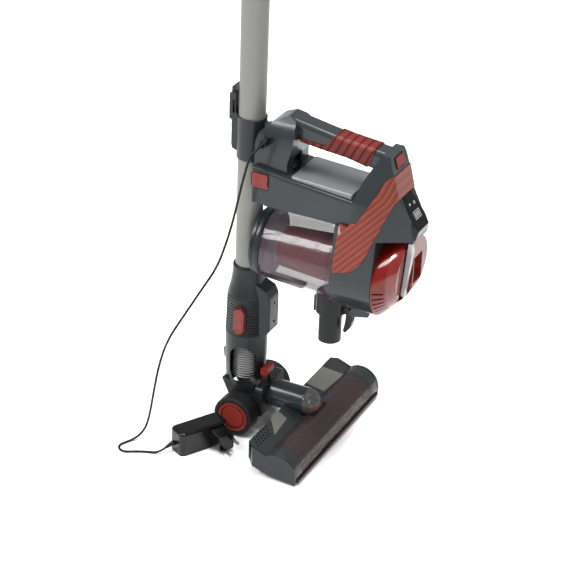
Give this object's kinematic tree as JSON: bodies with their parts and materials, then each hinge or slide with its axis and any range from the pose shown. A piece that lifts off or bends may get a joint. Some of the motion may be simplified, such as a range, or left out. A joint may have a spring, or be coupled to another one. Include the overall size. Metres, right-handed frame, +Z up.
{
  "type": "cordless stick vacuum",
  "caption": "Cordless stick vacuum: removable hand unit docked on an upright wand, motorised floor head on a swivelling, tilting neck, and a plug-in charger.",
  "frame": {"origin": "on the floor under the middle of the object's box", "axes": "+Z up, -Y towards the front of the floor head, the object is symmetric about X = 0 apart from small parts"},
  "size_m": [0.2991, 0.3493, 0.825],
  "materials": {
    "slate": "glossy",
    "black": "matt",
    "charcoal": "satin",
    "red": "glossy",
    "coral": "glossy, grooved",
    "grip": "soft, grooved",
    "silver": "brushed",
    "wand": "satin",
    "clear": "clear, glossy",
    "cup": "clear, smoked",
    "pink": "clear, tinted",
    "display": "mirror gloss",
    "hose": "satin, ribbed",
    "tyre": "matt",
    "steel": "brushed",
    "pins": "polished",
    "cord": "satin",
    "adapter": "glossy",
    "mesh": "fine mesh",
    "filter": "pleated",
    "bristle": "bristle",
    "circuit": "matt",
    "cells": "satin"
  },
  "bodies": {
    "floor_head": {"head_base": "black", "head_cover": "slate", "brush_window": "clear", "end_caps": "slate", "bumper_strip": "red", "brush_bearings": "steel", "sole_glides": "charcoal", "head_motor": "steel", "drive_belt": "cord"},
    "sole_roller_pair": {"sole_rollers": "charcoal"},
    "motor_pulley": {"motor_pulley": "steel"},
    "brush_roll": {"brush_core": "charcoal", "brush_bristles": "bristle"},
    "yoke": {"yoke_frame": "charcoal", "swivel_barrel": "charcoal", "barrel_lens": "clear", "wheel_axles": "steel"},
    "wheel_left": {"tyre_left": "tyre", "hub_left": "red"},
    "wheel_right": {"tyre_right": "tyre", "hub_right": "red"},
    "lock_pedal": {"lock_pedal": "red"},
    "neck": {"neck_shell_left": "charcoal", "neck_shell_right": "charcoal", "neck_hose": "hose", "connector_block": "black"},
    "tube_release": {"tube_release": "red"},
    "wand": {"wand_tube": "wand", "dock_collar": "charcoal", "accessory_clip": "black", "wand_socket": "charcoal"},
    "hand_unit": {"body_shell_left": "slate", "body_shell_right": "slate", "handle_grip": "grip", "battery_cover": "silver", "battery_pack": "cells", "control_board": "circuit", "stripe_band": "coral", "display_panel": "display", "dc_jack": "black", "dust_cup": "cup", "cup_lid": "charcoal", "mesh_filter": "mesh", "pleated_filter": "filter", "inlet_nozzle": "black", "suction_motor": "wand"},
    "power_button": {"power_button": "red"},
    "cup_release": {"cup_release": "red"},
    "inlet_lever": {"inlet_lever": "black"},
    "fan": {"fan_wheel": "charcoal"},
    "exhaust_cap": {"exhaust_cap": "red", "cap_cover": "pink", "exhaust_filter": "filter"},
    "cap_lever": {"cap_lever": "silver"},
    "charger": {"dc_plug": "adapter", "charger_cord": "cord", "adapter_body": "adapter", "adapter_relief": "cord", "plug_head": "adapter", "mains_pins": "pins"}
  },
  "joints": [
    {"name": "arm_swivel", "type": "hinge", "parent": "floor_head", "child": "yoke", "pos_m": [0, 0.04, 0.046], "axis": [0, 1, 0], "range_deg": [-30, 30]},
    {"name": "wheel_left_spin", "type": "hinge", "parent": "yoke", "child": "wheel_left", "pos_m": [-0.048, 0.096, 0.028], "axis": [1, 0, 0], "continuous": true},
    {"name": "wheel_right_spin", "type": "hinge", "parent": "yoke", "child": "wheel_right", "pos_m": [0.048, 0.096, 0.028], "axis": [1, 0, 0], "continuous": true},
    {"name": "lock_pedal_press", "type": "hinge", "parent": "yoke", "child": "lock_pedal", "pos_m": [-0.0084, 0.073, 0.074], "axis": [1, 0, 0], "range_deg": [0, 8], "stiffness_Nm_per_rad": 0.3},
    {"name": "wand_tilt", "type": "hinge", "parent": "yoke", "child": "neck", "pos_m": [0, 0.096, 0.028], "axis": [-1, 0, 0], "range_deg": [0, 65], "deforming": ["neck_hose"]},
    {"name": "tube_release_press", "type": "slide", "parent": "neck", "child": "tube_release", "axis": [1, 0, 0], "range_m": [0, 0.0025], "stiffness_N_per_m": 400},
    {"name": "wand_pull", "type": "slide", "parent": "neck", "child": "wand", "axis": [0, 0, 1], "range_m": [0, 0.06]},
    {"name": "hand_unit_undock", "type": "slide", "parent": "wand", "child": "hand_unit", "axis": [0, 0, 1], "range_m": [0, 0.06]},
    {"name": "power_button_press", "type": "slide", "parent": "hand_unit", "child": "power_button", "axis": [0, 0.9545, -0.2982], "range_m": [0, 0.0015], "stiffness_N_per_m": 500},
    {"name": "cup_release_press", "type": "slide", "parent": "hand_unit", "child": "cup_release", "axis": [1, 0, 0], "range_m": [0, 0.0025], "stiffness_N_per_m": 400},
    {"name": "inlet_lever_press", "type": "hinge", "parent": "hand_unit", "child": "inlet_lever", "pos_m": [0, -0.0405, 0.203], "axis": [1, 0, 0], "range_deg": [0, 6], "stiffness_Nm_per_rad": 0.3},
    {"name": "fan_spin", "type": "hinge", "parent": "hand_unit", "child": "fan", "pos_m": [0, -0.044, 0.268], "axis": [0, 1, 0], "continuous": true},
    {"name": "exhaust_cap_pull", "type": "slide", "parent": "hand_unit", "child": "exhaust_cap", "axis": [0, -1, 0], "range_m": [0, 0.04]},
    {"name": "cap_lever_open", "type": "hinge", "parent": "exhaust_cap", "child": "cap_lever", "pos_m": [-0.0165, -0.126, 0.323], "axis": [-1, 0, 0], "range_deg": [0, 20], "stiffness_Nm_per_rad": 0.1},
    {"name": "charger_unplug", "type": "slide", "parent": "hand_unit", "child": "charger", "axis": [-1, 0, 0], "range_m": [0, 0.015]},
    {"name": "brush_spin", "type": "hinge", "parent": "floor_head", "child": "brush_roll", "pos_m": [0, -0.0085, 0.0145], "axis": [1, 0, 0], "continuous": true},
    {"name": "motor_pulley_spin", "type": "hinge", "parent": "floor_head", "child": "motor_pulley", "pos_m": [-0.118, 0.0242, 0.0265], "axis": [1, 0, 0], "continuous": true},
    {"name": "sole_roller_spin", "type": "hinge", "parent": "floor_head", "child": "sole_roller_pair", "pos_m": [0, 0.022, 0.007], "axis": [1, 0, 0], "continuous": true}
  ],
  "couplings": [
    {"joint": "motor_pulley_spin", "follows": "brush_spin", "ratio": 2}
  ]
}
